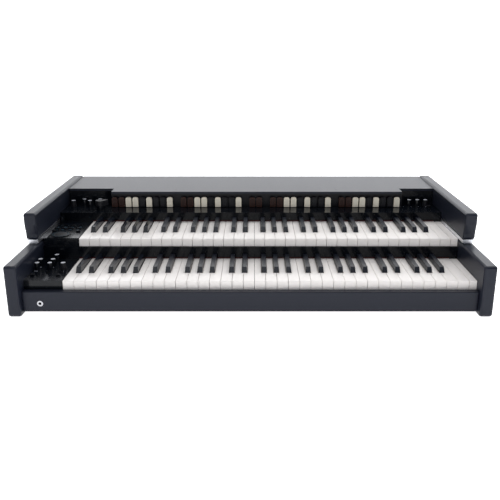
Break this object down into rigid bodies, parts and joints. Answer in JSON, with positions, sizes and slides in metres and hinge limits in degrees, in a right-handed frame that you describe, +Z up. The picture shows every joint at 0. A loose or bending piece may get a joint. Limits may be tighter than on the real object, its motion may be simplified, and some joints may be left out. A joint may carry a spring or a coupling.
{
  "type": "dual-manual drawbar organ",
  "caption": "Tabletop dual-manual organ with waterfall keys, sliding drawbars, control knobs and a half-moon rotary-speed switch.",
  "frame": {"origin": "on the floor, under the middle of the case's outer box", "axes": "+X to the player's right, along the keyboards; -Y towards the player; +Z up"},
  "size_m": [1, 0.58, 0.1836],
  "materials": {
    "cabinet_lacquer": "satin dark blue-grey lacquer",
    "gloss_black": "glossy black",
    "white_key": "smooth ivory white",
    "black_key": "smooth black",
    "cream_cap": "cream",
    "brown_cap": "dark brown",
    "black_cap": "black",
    "tray_steel": "plain steel",
    "strip_aluminium": "satin",
    "socket_chrome": "bright",
    "black_plastic": "matte black",
    "circuit_board": "green laminate",
    "bottom_board": "plain fibreboard"
  },
  "bodies": {
    "case": {"bottom_board": "bottom_board", "front_rail": "cabinet_lacquer", "name_rail": "gloss_black", "top_cover": "cabinet_lacquer", "back_panel": "cabinet_lacquer", "lower_cheek_left": "cabinet_lacquer", "lower_cheek_right": "cabinet_lacquer", "upper_cheek_left": "cabinet_lacquer", "upper_cheek_right": "cabinet_lacquer", "cheek_strip_left": "strip_aluminium", "cheek_strip_right": "strip_aluminium", "headphone_jack": "socket_chrome", "main_board": "circuit_board", "power_supply": "tray_steel", "power_inlet": "black_plastic", "lower_keybed": "tray_steel", "upper_keybed": "tray_steel", "lower_side_panel": "gloss_black", "upper_side_panel": "gloss_black", "control_panel": "gloss_black", "drawbar_unit": "black_cap"},
    "drawbar_16_body": {"drawbar_16": "brown_cap"},
    "drawbar_5_1_3_body": {"drawbar_5_1_3": "brown_cap"},
    "drawbar_8_body": {"drawbar_8": "cream_cap"},
    "drawbar_4_body": {"drawbar_4": "cream_cap"},
    "drawbar_2_2_3_body": {"drawbar_2_2_3": "black_cap"},
    "drawbar_2_body": {"drawbar_2": "cream_cap"},
    "drawbar_1_3_5_body": {"drawbar_1_3_5": "black_cap"},
    "drawbar_1_1_3_body": {"drawbar_1_1_3": "black_cap"},
    "drawbar_1_body": {"drawbar_1": "cream_cap"},
    "rotary_speed_body": {"rotary_speed_switch": "black_plastic"},
    "power_switch_body": {"power_switch": "black_plastic"},
    "left_knob_body": {"left_knob": "black_plastic"},
    "right_knob_body": {"right_knob": "black_plastic"},
    "lower_knob_body": {"lower_knob": "black_plastic"},
    "effect_button_body": {"effect_button": "black_plastic"},
    "lower_key_c_body": {"lower_key_c": "white_key"},
    "lower_key_d_body": {"lower_key_d": "white_key"},
    "lower_key_e_body": {"lower_key_e": "white_key"},
    "lower_key_f_body": {"lower_key_f": "white_key"},
    "lower_key_g_body": {"lower_key_g": "white_key"},
    "lower_key_a_body": {"lower_key_a": "white_key"},
    "lower_key_b_body": {"lower_key_b": "white_key"},
    "lower_key_c_sharp_body": {"lower_key_c_sharp": "black_key"},
    "lower_key_d_sharp_body": {"lower_key_d_sharp": "black_key"},
    "lower_key_f_sharp_body": {"lower_key_f_sharp": "black_key"},
    "lower_key_g_sharp_body": {"lower_key_g_sharp": "black_key"},
    "lower_key_a_sharp_body": {"lower_key_a_sharp": "black_key"},
    "upper_key_c_body": {"upper_key_c": "white_key"},
    "upper_key_d_body": {"upper_key_d": "white_key"},
    "upper_key_e_body": {"upper_key_e": "white_key"},
    "upper_key_f_body": {"upper_key_f": "white_key"},
    "upper_key_g_body": {"upper_key_g": "white_key"},
    "upper_key_a_body": {"upper_key_a": "white_key"},
    "upper_key_b_body": {"upper_key_b": "white_key"},
    "upper_key_c_sharp_body": {"upper_key_c_sharp": "black_key"},
    "upper_key_d_sharp_body": {"upper_key_d_sharp": "black_key"},
    "upper_key_f_sharp_body": {"upper_key_f_sharp": "black_key"},
    "upper_key_g_sharp_body": {"upper_key_g_sharp": "black_key"},
    "upper_key_a_sharp_body": {"upper_key_a_sharp": "black_key"}
  },
  "joints": [
    {"name": "drawbar_16_slide", "type": "slide", "parent": "case", "child": "drawbar_16_body", "axis": [0, -1, 0], "range_m": [0, 0.036]},
    {"name": "drawbar_5_1_3_slide", "type": "slide", "parent": "case", "child": "drawbar_5_1_3_body", "axis": [0, -1, 0], "range_m": [0, 0.036]},
    {"name": "drawbar_8_slide", "type": "slide", "parent": "case", "child": "drawbar_8_body", "axis": [0, -1, 0], "range_m": [0, 0.036]},
    {"name": "drawbar_4_slide", "type": "slide", "parent": "case", "child": "drawbar_4_body", "axis": [0, -1, 0], "range_m": [0, 0.036]},
    {"name": "drawbar_2_2_3_slide", "type": "slide", "parent": "case", "child": "drawbar_2_2_3_body", "axis": [0, -1, 0], "range_m": [0, 0.036]},
    {"name": "drawbar_2_slide", "type": "slide", "parent": "case", "child": "drawbar_2_body", "axis": [0, -1, 0], "range_m": [0, 0.036]},
    {"name": "drawbar_1_3_5_slide", "type": "slide", "parent": "case", "child": "drawbar_1_3_5_body", "axis": [0, -1, 0], "range_m": [0, 0.036]},
    {"name": "drawbar_1_1_3_slide", "type": "slide", "parent": "case", "child": "drawbar_1_1_3_body", "axis": [0, -1, 0], "range_m": [0, 0.036]},
    {"name": "drawbar_1_slide", "type": "slide", "parent": "case", "child": "drawbar_1_body", "axis": [0, -1, 0], "range_m": [0, 0.036]},
    {"name": "rotary_speed_turn", "type": "hinge", "parent": "case", "child": "rotary_speed_body", "pos_m": [-0.38, 0.07405, 0.1382], "axis": [0, 0, 1], "range_deg": [-40, 40]},
    {"name": "power_switch_rock", "type": "hinge", "parent": "case", "child": "power_switch_body", "pos_m": [0.3505, 0.28095, 0.0654], "axis": [1, 0, 0], "range_deg": [0, 12]},
    {"name": "left_knob_turn", "type": "hinge", "parent": "case", "child": "left_knob_body", "pos_m": [-0.455, 0.10405, 0.1382], "axis": [0, 0, -1], "range_deg": [-150, 150]},
    {"name": "right_knob_turn", "type": "hinge", "parent": "case", "child": "right_knob_body", "pos_m": [0.449, 0.11205, 0.1382], "axis": [0, 0, -1], "range_deg": [-150, 150]},
    {"name": "lower_knob_turn", "type": "hinge", "parent": "case", "child": "lower_knob_body", "pos_m": [-0.408, -0.18595, 0.0693], "axis": [0, 0, -1], "range_deg": [-150, 150]},
    {"name": "effect_button_press", "type": "slide", "parent": "case", "child": "effect_button_body", "axis": [0, 0, -1], "range_m": [0, 0.0015], "stiffness_N_per_m": 400, "springref_m": -0.002},
    {"name": "lower_key_c_press", "type": "hinge", "parent": "case", "child": "lower_key_c_body", "pos_m": [-0.38022, -0.05045, 0.0581], "axis": [1, 0, 0], "range_deg": [0, 3], "stiffness_Nm_per_rad": 1, "springref_deg": -8.59},
    {"name": "lower_key_d_press", "type": "hinge", "parent": "case", "child": "lower_key_d_body", "pos_m": [-0.35664, -0.05045, 0.0581], "axis": [1, 0, 0], "range_deg": [0, 3], "stiffness_Nm_per_rad": 1, "springref_deg": -8.59},
    {"name": "lower_key_e_press", "type": "hinge", "parent": "case", "child": "lower_key_e_body", "pos_m": [-0.33308, -0.05045, 0.0581], "axis": [1, 0, 0], "range_deg": [0, 3], "stiffness_Nm_per_rad": 1, "springref_deg": -8.59},
    {"name": "lower_key_f_press", "type": "hinge", "parent": "case", "child": "lower_key_f_body", "pos_m": [-0.3095, -0.05045, 0.0581], "axis": [1, 0, 0], "range_deg": [0, 3], "stiffness_Nm_per_rad": 1, "springref_deg": -8.59},
    {"name": "lower_key_g_press", "type": "hinge", "parent": "case", "child": "lower_key_g_body", "pos_m": [-0.28593, -0.05045, 0.0581], "axis": [1, 0, 0], "range_deg": [0, 3], "stiffness_Nm_per_rad": 1, "springref_deg": -8.59},
    {"name": "lower_key_a_press", "type": "hinge", "parent": "case", "child": "lower_key_a_body", "pos_m": [-0.26237, -0.05045, 0.0581], "axis": [1, 0, 0], "range_deg": [0, 3], "stiffness_Nm_per_rad": 1, "springref_deg": -8.59},
    {"name": "lower_key_b_press", "type": "hinge", "parent": "case", "child": "lower_key_b_body", "pos_m": [-0.2388, -0.05045, 0.0581], "axis": [1, 0, 0], "range_deg": [0, 3], "stiffness_Nm_per_rad": 1, "springref_deg": -8.59},
    {"name": "lower_key_c_sharp_press", "type": "hinge", "parent": "case", "child": "lower_key_c_sharp_body", "pos_m": [-0.3705, -0.05045, 0.0581], "axis": [1, 0, 0], "range_deg": [0, 3], "stiffness_Nm_per_rad": 1, "springref_deg": -8.59},
    {"name": "lower_key_d_sharp_press", "type": "hinge", "parent": "case", "child": "lower_key_d_sharp_body", "pos_m": [-0.34279, -0.05045, 0.0581], "axis": [1, 0, 0], "range_deg": [0, 3], "stiffness_Nm_per_rad": 1, "springref_deg": -8.59},
    {"name": "lower_key_f_sharp_press", "type": "hinge", "parent": "case", "child": "lower_key_f_sharp_body", "pos_m": [-0.30082, -0.05045, 0.0581], "axis": [1, 0, 0], "range_deg": [0, 3], "stiffness_Nm_per_rad": 1, "springref_deg": -8.59},
    {"name": "lower_key_g_sharp_press", "type": "hinge", "parent": "case", "child": "lower_key_g_sharp_body", "pos_m": [-0.27415, -0.05045, 0.0581], "axis": [1, 0, 0], "range_deg": [0, 3], "stiffness_Nm_per_rad": 1, "springref_deg": -8.59},
    {"name": "lower_key_a_sharp_press", "type": "hinge", "parent": "case", "child": "lower_key_a_sharp_body", "pos_m": [-0.24748, -0.05045, 0.0581], "axis": [1, 0, 0], "range_deg": [0, 3], "stiffness_Nm_per_rad": 1, "springref_deg": -8.59},
    {"name": "upper_key_c_press", "type": "hinge", "parent": "case", "child": "upper_key_c_body", "pos_m": [-0.38022, 0.10095, 0.1047], "axis": [1, 0, 0], "range_deg": [0, 3], "stiffness_Nm_per_rad": 1, "springref_deg": -8.59},
    {"name": "upper_key_d_press", "type": "hinge", "parent": "case", "child": "upper_key_d_body", "pos_m": [-0.35664, 0.10095, 0.1047], "axis": [1, 0, 0], "range_deg": [0, 3], "stiffness_Nm_per_rad": 1, "springref_deg": -8.59},
    {"name": "upper_key_e_press", "type": "hinge", "parent": "case", "child": "upper_key_e_body", "pos_m": [-0.33308, 0.10095, 0.1047], "axis": [1, 0, 0], "range_deg": [0, 3], "stiffness_Nm_per_rad": 1, "springref_deg": -8.59},
    {"name": "upper_key_f_press", "type": "hinge", "parent": "case", "child": "upper_key_f_body", "pos_m": [-0.3095, 0.10095, 0.1047], "axis": [1, 0, 0], "range_deg": [0, 3], "stiffness_Nm_per_rad": 1, "springref_deg": -8.59},
    {"name": "upper_key_g_press", "type": "hinge", "parent": "case", "child": "upper_key_g_body", "pos_m": [-0.28593, 0.10095, 0.1047], "axis": [1, 0, 0], "range_deg": [0, 3], "stiffness_Nm_per_rad": 1, "springref_deg": -8.59},
    {"name": "upper_key_a_press", "type": "hinge", "parent": "case", "child": "upper_key_a_body", "pos_m": [-0.26237, 0.10095, 0.1047], "axis": [1, 0, 0], "range_deg": [0, 3], "stiffness_Nm_per_rad": 1, "springref_deg": -8.59},
    {"name": "upper_key_b_press", "type": "hinge", "parent": "case", "child": "upper_key_b_body", "pos_m": [-0.2388, 0.10095, 0.1047], "axis": [1, 0, 0], "range_deg": [0, 3], "stiffness_Nm_per_rad": 1, "springref_deg": -8.59},
    {"name": "upper_key_c_sharp_press", "type": "hinge", "parent": "case", "child": "upper_key_c_sharp_body", "pos_m": [-0.3705, 0.10095, 0.1047], "axis": [1, 0, 0], "range_deg": [0, 3], "stiffness_Nm_per_rad": 1, "springref_deg": -8.59},
    {"name": "upper_key_d_sharp_press", "type": "hinge", "parent": "case", "child": "upper_key_d_sharp_body", "pos_m": [-0.34279, 0.10095, 0.1047], "axis": [1, 0, 0], "range_deg": [0, 3], "stiffness_Nm_per_rad": 1, "springref_deg": -8.59},
    {"name": "upper_key_f_sharp_press", "type": "hinge", "parent": "case", "child": "upper_key_f_sharp_body", "pos_m": [-0.30082, 0.10095, 0.1047], "axis": [1, 0, 0], "range_deg": [0, 3], "stiffness_Nm_per_rad": 1, "springref_deg": -8.59},
    {"name": "upper_key_g_sharp_press", "type": "hinge", "parent": "case", "child": "upper_key_g_sharp_body", "pos_m": [-0.27415, 0.10095, 0.1047], "axis": [1, 0, 0], "range_deg": [0, 3], "stiffness_Nm_per_rad": 1, "springref_deg": -8.59},
    {"name": "upper_key_a_sharp_press", "type": "hinge", "parent": "case", "child": "upper_key_a_sharp_body", "pos_m": [-0.24748, 0.10095, 0.1047], "axis": [1, 0, 0], "range_deg": [0, 3], "stiffness_Nm_per_rad": 1, "springref_deg": -8.59}
  ]
}
